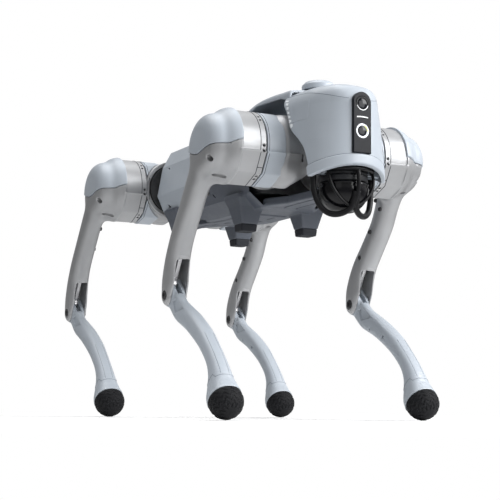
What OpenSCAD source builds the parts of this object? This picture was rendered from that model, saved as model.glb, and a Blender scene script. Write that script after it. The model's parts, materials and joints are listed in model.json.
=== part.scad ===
// Quadruped robot dog, standing. +X forward, +Y to the robot's left, +Z up.
// The origin is on the ground, under the centre of the body.
// Each leg is drawn once, as the front left one, and placed four times.

/* [Legs] */
// Distance from the body's centre to each thigh axis, along the body
hip_x = 193.4; // [190:0.1:200]
// Distance from the body's middle plane to each abduction axis
abduct_y = 46.5; // [45:0.1:50]
// Distance from the abduction axis out to the middle of the leg
leg_y = 95.5; // [94:0.1:98]
// Thigh axis to knee axis
thigh_len = 213; // [205:1:225]
// Knee axis to the centre of the foot ball, along the calf
calf_len = 210; // [205:1:225]
// How far the foot ball sits in front of the calf's line
foot_lead = 4; // [0:0.5:6]
// Radius of the rubber foot
foot_r = 22; // [20:0.5:24]
// Lean of the thigh when standing
thigh_lean = 30.85; // [25:0.05:35]
// Bend of the knee when standing
knee_fold = 78.26; // [70:0.02:85]

/* [Joint housings] */
// Radius of the round drum that holds the thigh and knee motors
drum_r = 47; // [46:0.5:48]
// Radius of the hip casting around the abduction axis
dome_r = 43; // [42:0.5:44]
// Radius of the plastic cap over the shoulder
cap_r = 50.5; // [50:0.5:53]

/* [Knee linkage] */
// Length of the crank and of the matching lug on the calf
crank_len = 16; // [15:0.5:17]
// Radial gap in every running bearing
run_gap = 0.05; // [0.02:0.01:0.08]

/* [Trunk] */
// Half width at the side crease
crease_half_w = 75; // [72:0.5:78]
// Half length of the body shells
shell_half_l = 142; // [138:0.5:143]
// Height of the flat back above the hip axes
back_z = 62; // [60:0.5:64]
// Wall of the plastic shells
wall = 3; // [2.5:0.5:4]
// Payload hole spacing along the body
payload_dx = 120; // [80:5:120]
// Payload hole spacing across the body
payload_dy = 50; // [40:5:56]
// Payload hole radius
payload_r = 2.2; // [2:0.1:3]

/* [Hidden] */
$fn = 96;

shell_blue = "LightSteelBlue";
cast_silver = "Silver";
slate = "DimGray";

// Standing height of the hip axes
calf_tilt = thigh_lean - knee_fold;
hip_z = thigh_len * cos(thigh_lean) - foot_lead * -sin(calf_tilt) + calf_len * cos(calf_tilt) + foot_r;

// Bearings and pins
thigh_pivot_r = 12;
crank_shaft_r = 8;
crank_pin_r = 4;
lug_pin_r = 3;
axle_r = 5;

// Distances from the abduction axis, out to the leg
cover_y0 = 13.5;
hip_end = 40;
drum_in = hip_end + 1;
thigh_motor_end = 58;
knee_motor_in = 59;
knee_motor_end = 78.5;
drum_out = 79;
shoulder_in = 74;
shoulder_end = 104;
leg_half_w = 16.5;
leg_in = leg_y - leg_half_w;
leg_out = leg_y + leg_half_w;
fork_gap = 9.5;
calf_head_half_w = 9;

// Angle of the crank and the calf lug in the thigh frame, from straight back towards up
lug_angle_in_calf = 123;
lug_angle = lug_angle_in_calf - knee_fold;
crank_pin = crank_len * [-cos(lug_angle), sin(lug_angle)];
calf_lug = crank_len * [-cos(lug_angle_in_calf), sin(lug_angle_in_calf)];

// Ends of the trunk
bulkhead_x = hip_x - 48.4;
motor_in = bulkhead_x - hip_x;
motor_out = 4;
battery_half_l = 70;
battery_z = [-40, 30];

// ---------- helpers ----------

module along_y(y0, y1) {
    translate([0, y1, 0]) rotate([90, 0, 0]) linear_extrude(y1 - y0) children();
}

module along_x(x0, x1) {
    translate([x0, 0, 0]) rotate([90, 0, 90]) linear_extrude(x1 - x0) children();
}

module rod_y(r, y0, y1) {
    translate([0, y0, 0]) rotate([-90, 0, 0]) cylinder(r = r, h = y1 - y0);
}

module rod_x(r, x0, x1) {
    translate([x0, 0, 0]) rotate([0, 90, 0]) cylinder(r = r, h = x1 - x0);
}

module block(lo, hi) {
    translate(lo) cube(hi - lo);
}

// Two discs joined by straight sides
module strap(p1, r1, p2, r2) {
    lean = atan2(p2.y - p1.y, p2.x - p1.x);
    open = acos((r1 - r2) / norm(p2 - p1));
    inset = 0.2;
    up = [cos(lean + open), sin(lean + open)];
    down = [cos(lean - open), sin(lean - open)];
    polygon([p1 + (r1 - inset) * up, p2 + (r2 - inset) * up, p2 + (r2 - inset) * down, p1 + (r1 - inset) * down]);
    translate(p1) circle(r1);
    translate(p2) circle(r2);
}

// A chain of straps through [point, radius] pairs
module chain(spots) {
    for (i = [0 : len(spots) - 2]) {
        strap(spots[i][0], spots[i][1], spots[i + 1][0], spots[i + 1][1]);
    }
}

// Round above, ten-sided below, with a corner pointing down
module drum_2d(r) {
    circle(r);
    intersection() {
        rotate(18) circle(r = r / cos(18), $fn = 10);
        translate([-2 * r, -2 * r]) square([4 * r, 2 * r + r * tan(18)]);
    }
}

// ---------- leg placement ----------

module at_leg(front, left) {
    translate([front * hip_x, 0, hip_z]) mirror([0, left > 0 ? 0 : 1, 0]) translate([0, abduct_y, 0]) children();
}

module facing(front) {
    mirror([front > 0 ? 0 : 1, 0, 0]) children();
}

module in_thigh() {
    rotate([0, thigh_lean, 0]) children();
}

module in_calf() {
    in_thigh() translate([0, leg_y, -thigh_len]) rotate([0, -knee_fold, 0]) children();
}

// ---------- hip ----------

dome_round = 24;
dome_front = 16;
hip_bore_r = 37;

module dome_2d() {
    translate([0, motor_in + 1.4]) square([dome_r, dome_front - motor_in - 1.4]);
    translate([0, dome_front - 1]) square([dome_r - dome_round, dome_round + 1]);
    intersection() {
        translate([dome_r - dome_round, dome_front]) circle(dome_round);
        translate([0, dome_front - 1]) square([dome_r, dome_round + 2]);
    }
}

module hip_housing_shape() {
    difference() {
        union() {
            rotate([0, 90, 0]) rotate_extrude() dome_2d();
            rod_y(drum_r - wall, 0, hip_end);
        }
        rod_x(hip_bore_r, motor_in, motor_out + 2);
        block([-80, hip_end, -80], [80, 60, 80]);
        difference() {
            block([0, cover_y0 - 0.2, -80], [80, 60, 80]);
            rod_y(drum_r - wall, 0, 70);
        }
    }
    rod_x(thigh_pivot_r, -20, motor_out + 4);
}

module hip_cover_shape() {
    difference() {
        along_y(cover_y0, hip_end) drum_2d(drum_r);
        rod_y(drum_r - wall + 0.15, 0, 50);
        rod_x(dome_r + 0.2, -80, 0);
    }
}

module thigh_motor_shape() {
    difference() {
        rod_y(38, hip_end, thigh_motor_end);
        rod_y(thigh_pivot_r + run_gap, hip_end + 4, thigh_motor_end + 1);
    }
}

// ---------- thigh ----------

// Everything above the wavy lower edge of the shoulder cap
module above_cap_line(gap) {
    translate([0, gap]) polygon([
        [70, 30], [47, 26], [28, 12], [10, 0], [-8, -17], [-22, -24], [-38, -22], [-70, -14],
        [-70, 80], [70, 80]
    ]);
}

// The beam runs slightly behind the straight line from hip to knee
module beam_2d() {
    chain([
        [[-3, -28], 27], [[-8, -84], 17], [[-14, -150], 17], [[-12, -190], 18], [[0, -thigh_len], 17.5]
    ]);
}

module thigh_frame_shape() {
    rod_lane = [-crank_len - 5.5, 1.5];
    rear_wall = -crank_len - 8.5;
    slot_top = -thigh_len + 52;
    difference() {
        union() {
            along_y(drum_in, shoulder_in) drum_2d(drum_r);
            rod_y(drum_r - wall, shoulder_in - 1, shoulder_end);
            along_y(shoulder_in - 1, shoulder_end + 3) difference() {
                drum_2d(drum_r);
                above_cap_line(0);
            }
            along_y(leg_in, leg_out) difference() {
                beam_2d();
                above_cap_line(0);
            }
        }
        rod_y(40, drum_in - 1, drum_out);
        rod_y(27, drum_out - 1, leg_y + 4);
        block([rod_lane[0], leg_y - 4, slot_top - 4], [rod_lane[1], leg_y + 4, 0]);
        block([rear_wall, leg_y - fork_gap, -thigh_len - 30], [60, leg_y + fork_gap, slot_top]);
        block([-60, leg_y - fork_gap, -thigh_len - 30], [0, leg_y + fork_gap, -thigh_len + 13]);
        translate([0, 0, -thigh_len]) rod_y(axle_r + 0.02, leg_in - 1, leg_out + 1);
        translate([22, 0, -7]) rod_y(2.2, shoulder_end - 12, shoulder_end + 4);
    }
}

module shoulder_cap_shape() {
    difference() {
        along_y(shoulder_in + 0.3, shoulder_end + 5) intersection() {
            circle(cap_r);
            above_cap_line(0.4);
        }
        rod_y(drum_r - wall + 0.3, shoulder_in, shoulder_end + 0.3);
        along_y(shoulder_in, shoulder_end + 0.3) beam_2d();
    }
}

module knee_motor_shape() {
    difference() {
        union() {
            rod_y(39.8, knee_motor_in, knee_motor_end);
            rod_y(thigh_pivot_r, hip_end + 6, knee_motor_in + 1);
        }
        rod_y(crank_shaft_r + run_gap, knee_motor_in + 4, knee_motor_end + 1);
    }
}

module knee_axle_shape() {
    translate([0, 0, -thigh_len]) {
        rod_y(axle_r, leg_in - 0.5, leg_out + 0.5);
        rod_y(8, leg_in - 3, leg_in - 0.2);
        rod_y(8, leg_out + 0.2, leg_out + 3);
    }
}

module knee_crank_shape() {
    rod_y(crank_shaft_r, knee_motor_in + 6, knee_motor_end + 2);
    along_y(knee_motor_end + 1, leg_y - 4) strap([0, 0], 14, crank_pin, 8);
    translate([crank_pin.x, 0, crank_pin.y]) rod_y(crank_pin_r, leg_y - 5, leg_y + 3.4);
}

module push_rod_shape() {
    translate([crank_pin.x, 0, crank_pin.y]) along_y(leg_y - 3, leg_y + 3) difference() {
        union() {
            circle(7.5);
            translate([0, -thigh_len]) circle(7.5);
            translate([-4, -thigh_len]) square([8, thigh_len]);
        }
        circle(crank_pin_r + run_gap);
        translate([0, -thigh_len]) circle(lug_pin_r + run_gap);
    }
}

// ---------- calf, drawn from the knee axis ----------

sole_cut = calf_len - 10;
foot_stud_r = 8;

// The shin bows forward, narrows, and widens again into the ankle
module shin_2d() {
    chain([
        [[5, -47], 14], [[14.5, -75], 12.7], [[21, -105], 12], [[22.6, -133], 11],
        [[21.4, -156], 11.5], [[16, -176], 13], [[10, -186], 13.5]
    ]);
}

module calf_shape() {
    difference() {
        union() {
            along_y(-calf_head_half_w, calf_head_half_w) {
                chain([[[0, 0], 15], [[0.5, -29], 15.2], [[5, -47], 14]]);
                strap([0, 0], 14, calf_lug, 6.5);
            }
            along_y(-12, 12) shin_2d();
            translate([foot_lead + 1, 0, -sole_cut]) cylinder(r1 = 18.5, r2 = 11, h = 24);
            translate([foot_lead, 0, -calf_len - 4]) cylinder(r = foot_stud_r, h = 20);
        }
        difference() {
            block([-7, -3.6, -14], [50, 3.6, 40]);
            rod_y(8, -10, 10);
        }
        rod_y(axle_r + run_gap, -20, 20);
    }
    translate([calf_lug.x, 0, calf_lug.y]) rod_y(lug_pin_r, -calf_head_half_w + 1, calf_head_half_w - 1);
}

module foot_shape() {
    difference() {
        translate([foot_lead, 0, -calf_len]) sphere(foot_r);
        block([-60, -60, -sole_cut - 0.2], [60, 60, 0]);
        translate([foot_lead, 0, -calf_len - 4.2]) cylinder(r = foot_stud_r + 0.1, h = 30);
    }
}

// ---------- leg pieces, one set per corner ----------

module hip_housing(f, l) color(cast_silver) at_leg(f, l) facing(f) hip_housing_shape();
module hip_cover(f, l) color(shell_blue) at_leg(f, l) facing(f) hip_cover_shape();
module thigh_motor(f, l) color("DarkSlateGray") at_leg(f, l) thigh_motor_shape();
module thigh_frame(f, l) color(cast_silver) at_leg(f, l) in_thigh() thigh_frame_shape();
module shoulder_cap(f, l) color(shell_blue) at_leg(f, l) in_thigh() shoulder_cap_shape();
module knee_motor(f, l) color("DarkSlateGray") at_leg(f, l) in_thigh() knee_motor_shape();
module knee_axle(f, l) color("Black") at_leg(f, l) in_thigh() knee_axle_shape();
module knee_crank(f, l) color("Gray") at_leg(f, l) in_thigh() knee_crank_shape();
module push_rod(f, l) color("Gray") at_leg(f, l) in_thigh() push_rod_shape();
module calf(f, l) color(shell_blue) at_leg(f, l) in_calf() calf_shape();
module foot(f, l) color("Black") at_leg(f, l) in_calf() foot_shape();

// ---------- trunk ----------

module at_hip_level() {
    translate([0, 0, hip_z]) children();
}

crease_z = -14;

// Right half of the trunk's section above and below the crease, moved in by inset
function upper_half(inset) = [
    [crease_half_w - inset, crease_z], [67 - inset, 30], [54 - inset, 54 - inset * 0.7], [34, back_z - inset]
];
function lower_half(inset) = [
    [42 - inset * 0.3, -64 + inset], [62 - inset, -48 + inset * 0.3], [crease_half_w - inset, crease_z]
];

// A closed outline, from its half with y above zero
module mirrored_outline(half) {
    polygon(concat(half, [for (i = [len(half) - 1 : -1 : 0]) [-half[i].x, half[i].y]]));
}

module upper_section(inset) {
    mirrored_outline(upper_half(inset));
}

module lower_section(inset) {
    mirrored_outline(lower_half(inset));
}

module battery_bay(gap) {
    block(
        [-battery_half_l - gap, -40, battery_z[0] - gap],
        [battery_half_l + gap, 100, battery_z[1] + gap]
    );
}

payload_x = -40;

module payload_spots() {
    for (x = [-1, 1], y = [-1, 1]) {
        translate([payload_x + x * payload_dx / 2, y * payload_dy / 2, back_z]) children();
    }
}

// The hood carries the body line over the front hips: a roof on two cheeks
hood_half_w = 46;

module hood_roof_2d() {
    polygon([
        [40, back_z - 1], [100, 78], [130, 82], [210, 80],
        [210, 76], [130, 77.5], [103, 74], [52, back_z - 2]
    ]);
}

module hood_cheek_2d() {
    polygon([
        [44, back_z - 6], [44, back_z - 0.5], [101, 76], [130, 79],
        [shell_half_l, 79], [shell_half_l, back_z - 6]
    ]);
}

module top_shell() {
    spine_half_w = 20;
    color(shell_blue) at_hip_level() difference() {
        union() {
            difference() {
                along_x(-shell_half_l, shell_half_l) upper_section(0);
                along_x(-shell_half_l - 1, shell_half_l + 1) upper_section(wall);
                battery_bay(0.5);
            }
            along_y(-hood_half_w, hood_half_w) hood_roof_2d();
            for (side = [-1, 1]) translate([0, side * (hood_half_w - wall / 2), 0]) {
                along_y(-wall / 2, wall / 2) hood_cheek_2d();
            }
            block([-205, -spine_half_w, 52], [-shell_half_l + 2, spine_half_w, back_z]);
            payload_spots() translate([0, 0, -9]) cylinder(r = 6, h = 8);
        }
        payload_spots() translate([0, 0, -20]) cylinder(r = payload_r, h = 30);
    }
}

pad_x = 102;
pad_y = 46.5;
pad_foot_z = -94;
pad_tip = 10;

module pad_spots() {
    for (x = [-1, 1], y = [-1, 1]) translate([x * pad_x, y * pad_y, 0]) children();
}

module pedestal(top, bottom, z0, z1) {
    intersection() {
        along_y(-40, 40) polygon([[-bottom, z0], [bottom, z0], [top, z1], [-top, z1]]);
        along_x(-40, 40) polygon([[-bottom, z0], [bottom, z0], [top, z1], [-top, z1]]);
    }
}

module belly_shell() {
    keel_half_w = 16;
    keel_front = 242;
    color(slate) at_hip_level() {
        difference() {
            along_x(-shell_half_l, shell_half_l) translate([0, -0.2]) lower_section(0);
            along_x(-shell_half_l - 1, shell_half_l + 1) translate([0, 0.1]) lower_section(wall);
            battery_bay(0.5);
        }
        block([shell_half_l - 2, -keel_half_w, -63], [keel_front, keel_half_w, -52]);
        block([-200, -keel_half_w, -63], [-shell_half_l + 2, keel_half_w, -52]);
        pad_spots() pedestal(18, 12.5, pad_foot_z + pad_tip, -62);
    }
}

module belly_pads() {
    color("Black") at_hip_level() pad_spots() {
        block([-12, -12, pad_foot_z], [12, 12, pad_foot_z + pad_tip]);
    }
}

module chassis_frame() {
    deck_z = 46;
    half_w = 47;
    post_r = 4;
    color("SlateGray") at_hip_level() {
        difference() {
            union() {
                block([-bulkhead_x, -half_w, -deck_z], [bulkhead_x, half_w, deck_z]);
                for (s = [-1, 1]) {
                    along_x(s * bulkhead_x - 2 - s * 2, s * bulkhead_x + 2 - s * 2)
                        translate([-52, -44]) square([104, 88]);
                }
            }
            block([-bulkhead_x + 4, -half_w + wall, -deck_z + wall], [bulkhead_x - 4, half_w - wall, deck_z + 1]);
            block(
                [-battery_half_l - 2, 0, battery_z[0] - 2],
                [battery_half_l + 2, half_w + 1, battery_z[1] + 2]
            );
            for (x = [-120, 120]) translate([x, -half_w - 1, 0]) rod_y(18, 0, 2 * half_w + 2);
        }
        for (x = [-1, 1], y = [-1, 1]) {
            translate([x * 90, y * 38, -deck_z + 1]) cylinder(r = post_r, h = deck_z - 1 + 33);
        }
        block([bulkhead_x - 4, -18, 42], [262, 18, 57]);
    }
}

module hip_motors() {
    color("DarkSlateGray") {
        for (f = [-1, 1], l = [-1, 1]) at_leg(f, l) facing(f) difference() {
            rod_x(hip_bore_r - 1, motor_in, motor_out);
            rod_x(thigh_pivot_r + run_gap, -24, motor_out + 1);
        }
    }
}

module main_board() {
    color("DarkGreen") at_hip_level() {
        block([-100, -42, 33], [100, 42, 35]);
        block([-40, -22, 35], [20, 22, 44]);
        block([50, -30, 35], [80, 10, 42]);
        for (y = [-28, -8, 12, 32]) block([84, y - 6, 35], [98, y + 6, 43]);
    }
}

button_spot = [40, 8];

module battery_pack() {
    color("DarkGray") at_hip_level() difference() {
        intersection() {
            battery_bay(0);
            along_x(-battery_half_l, battery_half_l) mirrored_outline(concat(lower_half(0), upper_half(0)));
        }
        translate([button_spot.x, 0, button_spot.y]) rod_y(7.1, 63, 90);
    }
}

module power_button() {
    color("WhiteSmoke") at_hip_level() translate([button_spot.x, 0, button_spot.y]) rod_y(7, 66, 72.5);
}

// ---------- head ----------

head_front = 322;
head_half_w = 50;
nose_r = 60;

module head_plan(inset) {
    translate([head_front - nose_r, 0]) circle(nose_r - inset);
    translate([200, -head_half_w + inset]) square([83, 2 * (head_half_w - inset)]);
}

module head_side(inset) {
    polygon([
        [214 + inset, 75 - inset], [234 + inset, 30], [260 + inset, -8], [285 + inset, -48 - 8 * inset],
        [302, -48 - 8 * inset], [330, -25 - 8 * inset], [330, 58 - inset], [308, 71 - inset], [284, 76 - inset]
    ]);
}

module head_block(inset) {
    intersection() {
        along_y(-head_half_w + inset, head_half_w - inset) head_side(inset);
        translate([0, 0, -120]) linear_extrude(240) head_plan(inset);
    }
}

module head_shell() {
    color(shell_blue) at_hip_level() difference() {
        head_block(0);
        head_block(wall);
        block([200, -22, 38], [262, 22, 60]);
    }
}

strip_half_w = 12.7;

module camera_panel() {
    strip_low = -19;
    strip_high = 57.5;
    color("Black") at_hip_level() along_x(head_front + 0.1, head_front + 2) {
        translate([-strip_half_w, strip_low]) square([2 * strip_half_w, strip_high - strip_half_w - strip_low]);
        translate([0, strip_high - strip_half_w]) circle(strip_half_w);
    }
}

module camera_lens() {
    color("Black") at_hip_level() translate([0, 0, 42.5]) rod_x(8.5, head_front + 2, head_front + 2.6);
}

module head_lamp() {
    color("White") at_hip_level() translate([0, 0, 8.6]) rod_x(8.3, head_front + 2, head_front + 2.6);
}

lidar_x = 278;
lidar_r = 33;
lidar_z = -58;
lidar_axle_r = 6;

module lidar_housing() {
    color("Black") at_hip_level() difference() {
        union() {
            translate([lidar_x, 0, -50]) cylinder(r = 31, h = 26);
            intersection() {
                head_block(wall + 0.2);
                block([200, -60, -24], [330, 60, -20]);
            }
        }
        translate([lidar_x, 0, -60]) cylinder(r = lidar_axle_r + run_gap, h = 26);
        block([200, -60, -60], [lidar_x - 26, 60, 0]);
    }
}

module lidar_rotor() {
    color("Black") at_hip_level() translate([lidar_x, 0, 0]) {
        difference() {
            translate([0, 0, lidar_z]) sphere(lidar_r);
            block([-50, -50, -50.5], [50, 50, 0]);
        }
        translate([0, 0, -60]) cylinder(r = lidar_axle_r, h = 22);
    }
}

// One tube of the guard: straight legs and a half ring, in a plane turned about Z
module guard_loop(side) {
    tube_r = 4.5;
    bend_r = 24;
    low_z = -91 + bend_r;
    color("Black") rotate(side * 23) translate([0, side * 26, low_z]) rotate([90, 0, 90]) {
        rotate(180) rotate_extrude(angle = 180) translate([bend_r, 0]) circle(tube_r);
        translate([side * bend_r, 0, 0]) rotate([-90, 0, 0]) cylinder(r = tube_r, h = -50.5 - low_z);
    }
}

module lidar_guard() {
    color("Black") at_hip_level() translate([318, 0, 0]) {
        guard_loop(1);
        guard_loop(-1);
        translate([0, 0, -70]) cylinder(r = 4.5, h = 34);
    }
}

module antenna_cap() {
    color(shell_blue) at_hip_level() translate([217, 0, 0]) {
        translate([0, 0, 81]) cylinder(r = 22, h = 7);
        translate([0, 0, 88]) cylinder(r1 = 22, r2 = 17, h = 4);
    }
}

chassis_frame();
top_shell();
belly_shell();
belly_pads();
hip_motors();
main_board();
battery_pack();
power_button();
head_shell();
camera_panel();
camera_lens();
head_lamp();
lidar_housing();
lidar_rotor();
lidar_guard();
antenna_cap();
hip_housing(1, 1);  // front_left_hip_housing
hip_cover(1, 1);  // front_left_hip_cover
thigh_motor(1, 1);  // front_left_thigh_motor
thigh_frame(1, 1);  // front_left_thigh_frame
shoulder_cap(1, 1);  // front_left_shoulder_cap
knee_motor(1, 1);  // front_left_knee_motor
knee_axle(1, 1);  // front_left_knee_axle
knee_crank(1, 1);  // front_left_knee_crank
push_rod(1, 1);  // front_left_push_rod
calf(1, 1);  // front_left_calf
foot(1, 1);  // front_left_foot
hip_housing(1, -1);  // front_right_hip_housing
hip_cover(1, -1);  // front_right_hip_cover
thigh_motor(1, -1);  // front_right_thigh_motor
thigh_frame(1, -1);  // front_right_thigh_frame
shoulder_cap(1, -1);  // front_right_shoulder_cap
knee_motor(1, -1);  // front_right_knee_motor
knee_axle(1, -1);  // front_right_knee_axle
knee_crank(1, -1);  // front_right_knee_crank
push_rod(1, -1);  // front_right_push_rod
calf(1, -1);  // front_right_calf
foot(1, -1);  // front_right_foot
hip_housing(-1, 1);  // rear_left_hip_housing
hip_cover(-1, 1);  // rear_left_hip_cover
thigh_motor(-1, 1);  // rear_left_thigh_motor
thigh_frame(-1, 1);  // rear_left_thigh_frame
shoulder_cap(-1, 1);  // rear_left_shoulder_cap
knee_motor(-1, 1);  // rear_left_knee_motor
knee_axle(-1, 1);  // rear_left_knee_axle
knee_crank(-1, 1);  // rear_left_knee_crank
push_rod(-1, 1);  // rear_left_push_rod
calf(-1, 1);  // rear_left_calf
foot(-1, 1);  // rear_left_foot
hip_housing(-1, -1);  // rear_right_hip_housing
hip_cover(-1, -1);  // rear_right_hip_cover
thigh_motor(-1, -1);  // rear_right_thigh_motor
thigh_frame(-1, -1);  // rear_right_thigh_frame
shoulder_cap(-1, -1);  // rear_right_shoulder_cap
knee_motor(-1, -1);  // rear_right_knee_motor
knee_axle(-1, -1);  // rear_right_knee_axle
knee_crank(-1, -1);  // rear_right_knee_crank
push_rod(-1, -1);  // rear_right_push_rod
calf(-1, -1);  // rear_right_calf
foot(-1, -1);  // rear_right_foot
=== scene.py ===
"""Looks of the quadruped robot dog.

Cast and moulded pieces are modelled as smooth distance fields and meshed, round pieces are turned,
tubes are bevelled curves. Fields work in millimetres: trunk fields measure z from the hip axes, leg
fields are drawn once for the front left leg and placed four times.
"""

import json
import math

import bpy
import numpy as np
import openvdb
from mathutils import Matrix, Vector


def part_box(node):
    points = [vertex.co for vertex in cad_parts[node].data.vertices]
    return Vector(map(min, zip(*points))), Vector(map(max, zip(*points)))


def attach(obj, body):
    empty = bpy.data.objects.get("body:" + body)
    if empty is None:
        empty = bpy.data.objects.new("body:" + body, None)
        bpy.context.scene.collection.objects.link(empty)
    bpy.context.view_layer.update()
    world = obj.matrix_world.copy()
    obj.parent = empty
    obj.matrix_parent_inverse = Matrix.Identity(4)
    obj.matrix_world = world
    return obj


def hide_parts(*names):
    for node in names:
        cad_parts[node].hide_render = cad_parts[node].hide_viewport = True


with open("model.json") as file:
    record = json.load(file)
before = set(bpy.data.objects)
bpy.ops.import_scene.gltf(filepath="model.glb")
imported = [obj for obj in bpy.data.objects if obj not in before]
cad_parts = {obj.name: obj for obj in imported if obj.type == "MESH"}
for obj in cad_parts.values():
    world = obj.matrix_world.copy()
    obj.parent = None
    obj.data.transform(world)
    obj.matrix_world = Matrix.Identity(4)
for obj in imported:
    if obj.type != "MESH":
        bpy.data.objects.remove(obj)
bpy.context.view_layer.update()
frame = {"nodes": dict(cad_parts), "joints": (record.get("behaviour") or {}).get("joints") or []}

# ---------- sizes taken from the frame, in millimetres ----------

JOINTS = {joint["name"]: joint for joint in frame["joints"]}


def anchor(joint_name):
    return np.array(JOINTS[joint_name]["pos_m"]) * 1000


HIP = anchor("front_left_thigh_swing")
KNEE = anchor("front_left_knee")
ABDUCTION = anchor("front_left_abduction")
HIP_X, LEG_WORLD_Y, HIP_Z = HIP
ABDUCT_Y = ABDUCTION[1]
LEG_Y = LEG_WORLD_Y - ABDUCT_Y
THIGH_LEN = math.hypot(HIP[0] - KNEE[0], HIP[2] - KNEE[2])
LEAN = math.atan2(HIP[0] - KNEE[0], HIP[2] - KNEE[2])
FOOT_LOW, FOOT_HIGH = [np.array(corner) * 1000 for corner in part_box("front_left_foot")]
FOOT_R = (FOOT_HIGH[1] - FOOT_LOW[1]) / 2
FOOT_LEAD, CALF_LEN = 4, 210
FOOT_X, FOOT_Z = (FOOT_LOW[0] + FOOT_HIGH[0]) / 2, FOOT_LOW[2] + FOOT_R
TILT = -math.atan2(FOOT_X - KNEE[0], KNEE[2] - FOOT_Z) + math.atan2(FOOT_LEAD, CALF_LEN)

LEGS = [("front_left", 1, 1), ("front_right", 1, -1), ("rear_left", -1, 1), ("rear_right", -1, -1)]
TENTH = math.radians(36)

# ---------- field arithmetic ----------


def union(a, b, k=0.0):
    """Joins two fields, with a fillet of about k."""
    if k == 0:
        return np.minimum(a, b)
    h = np.maximum(k - np.abs(a - b), 0) / k
    return np.minimum(a, b) - h * h * k / 4


def both(a, b, k=0.0):
    return -union(-a, -b, k)


def cut(a, b, k=0.0):
    return both(a, -b, k)


def carve(body, cuts):
    """Takes fields away in turn, each given with the fillet of its edge."""
    for field, k in cuts:
        body = cut(body, field, k)
    return body


def slab(v, low, high):
    return np.abs(v - (low + high) / 2) - (high - low) / 2


def disc(u, v, r, cu=0.0, cv=0.0):
    return np.hypot(u - cu, v - cv) - r


def ball(x, y, z, centre, r):
    return np.sqrt((x - centre[0]) ** 2 + (y - centre[1]) ** 2 + (z - centre[2]) ** 2) - r


def capsule(x, y, z, a, b, r):
    """A rod with round ends."""
    way = [q - p for p, q in zip(a, b)]
    along = (x - a[0]) * way[0] + (y - a[1]) * way[1] + (z - a[2]) * way[2]
    t = np.clip(along / sum(w * w for w in way), 0, 1)
    return ball(x - way[0] * t, y - way[1] * t, z - way[2] * t, a, r)


def prism(outline, along, edge=0.6):
    """An outline carried along a slab, with rounded edges."""
    a, b = outline + edge, along + edge
    return np.minimum(np.maximum(a, b), 0) + np.hypot(np.maximum(a, 0), np.maximum(b, 0)) - edge


def brick(x, y, z, low, high, edge=0.6):
    return prism(both(slab(x, low[0], high[0]), slab(y, low[1], high[1]), edge), slab(z, low[2], high[2]), edge)


def polygon(u, v, corners):
    """Signed distance to a closed outline."""
    nearest, side = 1e9, 1.0
    for (au, av), (bu, bv) in zip(corners, corners[1:] + corners[:1]):
        eu, ev, wu, wv = bu - au, bv - av, u - au, v - av
        t = np.clip((wu * eu + wv * ev) / (eu * eu + ev * ev), 0, 1)
        nearest = np.minimum(nearest, (wu - eu * t) ** 2 + (wv - ev * t) ** 2)
        above, below, left = v >= av, v < bv, eu * wv > ev * wu
        side = np.where((above & below & left) | (~above & ~below & ~left), -side, side)
    return side * np.sqrt(nearest)


def strap(u, v, a, ra, b, rb):
    """Two discs joined by straight sides."""
    du, dv = b[0] - a[0], b[1] - a[1]
    length = math.hypot(du, dv)
    along = ((u - a[0]) * du + (v - a[1]) * dv) / length
    across = np.abs((u - a[0]) * dv - (v - a[1]) * du) / length
    lean = (ra - rb) / length
    rise = math.sqrt(1 - lean * lean)
    k = -across * lean + along * rise
    straight = across * rise + along * lean - ra
    return np.where(k < 0, np.hypot(across, along) - ra,
                    np.where(k > rise * length, np.hypot(across, along - length) - rb, straight))


def smooth_rows(rows, steps):
    """A smooth curve through rows of numbers, steps points to each span."""
    rows = np.array(rows, float)
    ends = np.vstack([2 * rows[0] - rows[1], rows, 2 * rows[-1] - rows[-2]])
    made = []
    for a, b, c, d in zip(ends, ends[1:], ends[2:], ends[3:]):
        for t in np.arange(steps) / steps:
            made.append(0.5 * (2 * b + (c - a) * t + (2 * a - 5 * b + 4 * c - d) * t * t
                               + (3 * b - a - 3 * c + d) * t ** 3))
    return np.array(made + [rows[-1]])


def limb(u, v, w, rows, power=2.3, steps=5):
    """A bar along a curve in (u, v). Rows hold u, v, radius in the plane, middle w and half width in w."""
    rows = smooth_rows(rows, steps)
    away, ru, mid, rw = 1e9, 0.0, 0.0, 0.0
    for a, b in zip(rows, rows[1:]):
        du, dv = b[0] - a[0], b[1] - a[1]
        t = np.clip(((u - a[0]) * du + (v - a[1]) * dv) / (du * du + dv * dv), 0, 1)
        here = np.hypot(u - a[0] - du * t, v - a[1] - dv * t)
        closer = here < away
        away = np.where(closer, here, away)
        ru, mid, rw = [np.where(closer, a[i] + (b[i] - a[i]) * t, old)
                       for i, old in ((2, ru), (3, mid), (4, rw))]
    reach = ((away / ru) ** power + (np.abs(w - mid) / rw) ** power) ** (1 / power)
    return (reach - 1) * np.minimum(ru, rw)


def drum(x, z, r, turn=0.0):
    """Round above, ten-sided below."""
    facets = -1e9
    for k in range(-5, 1):
        facets = both(facets, x * math.cos(k * TENTH - turn) + z * math.sin(k * TENTH - turn) - r, 1.2)
    level = z * math.cos(turn) + x * math.sin(turn) - r * math.tan(TENTH / 2)
    return union(np.hypot(x, z) - r, both(facets, level), 0.6)


# ---------- meshing ----------


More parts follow.
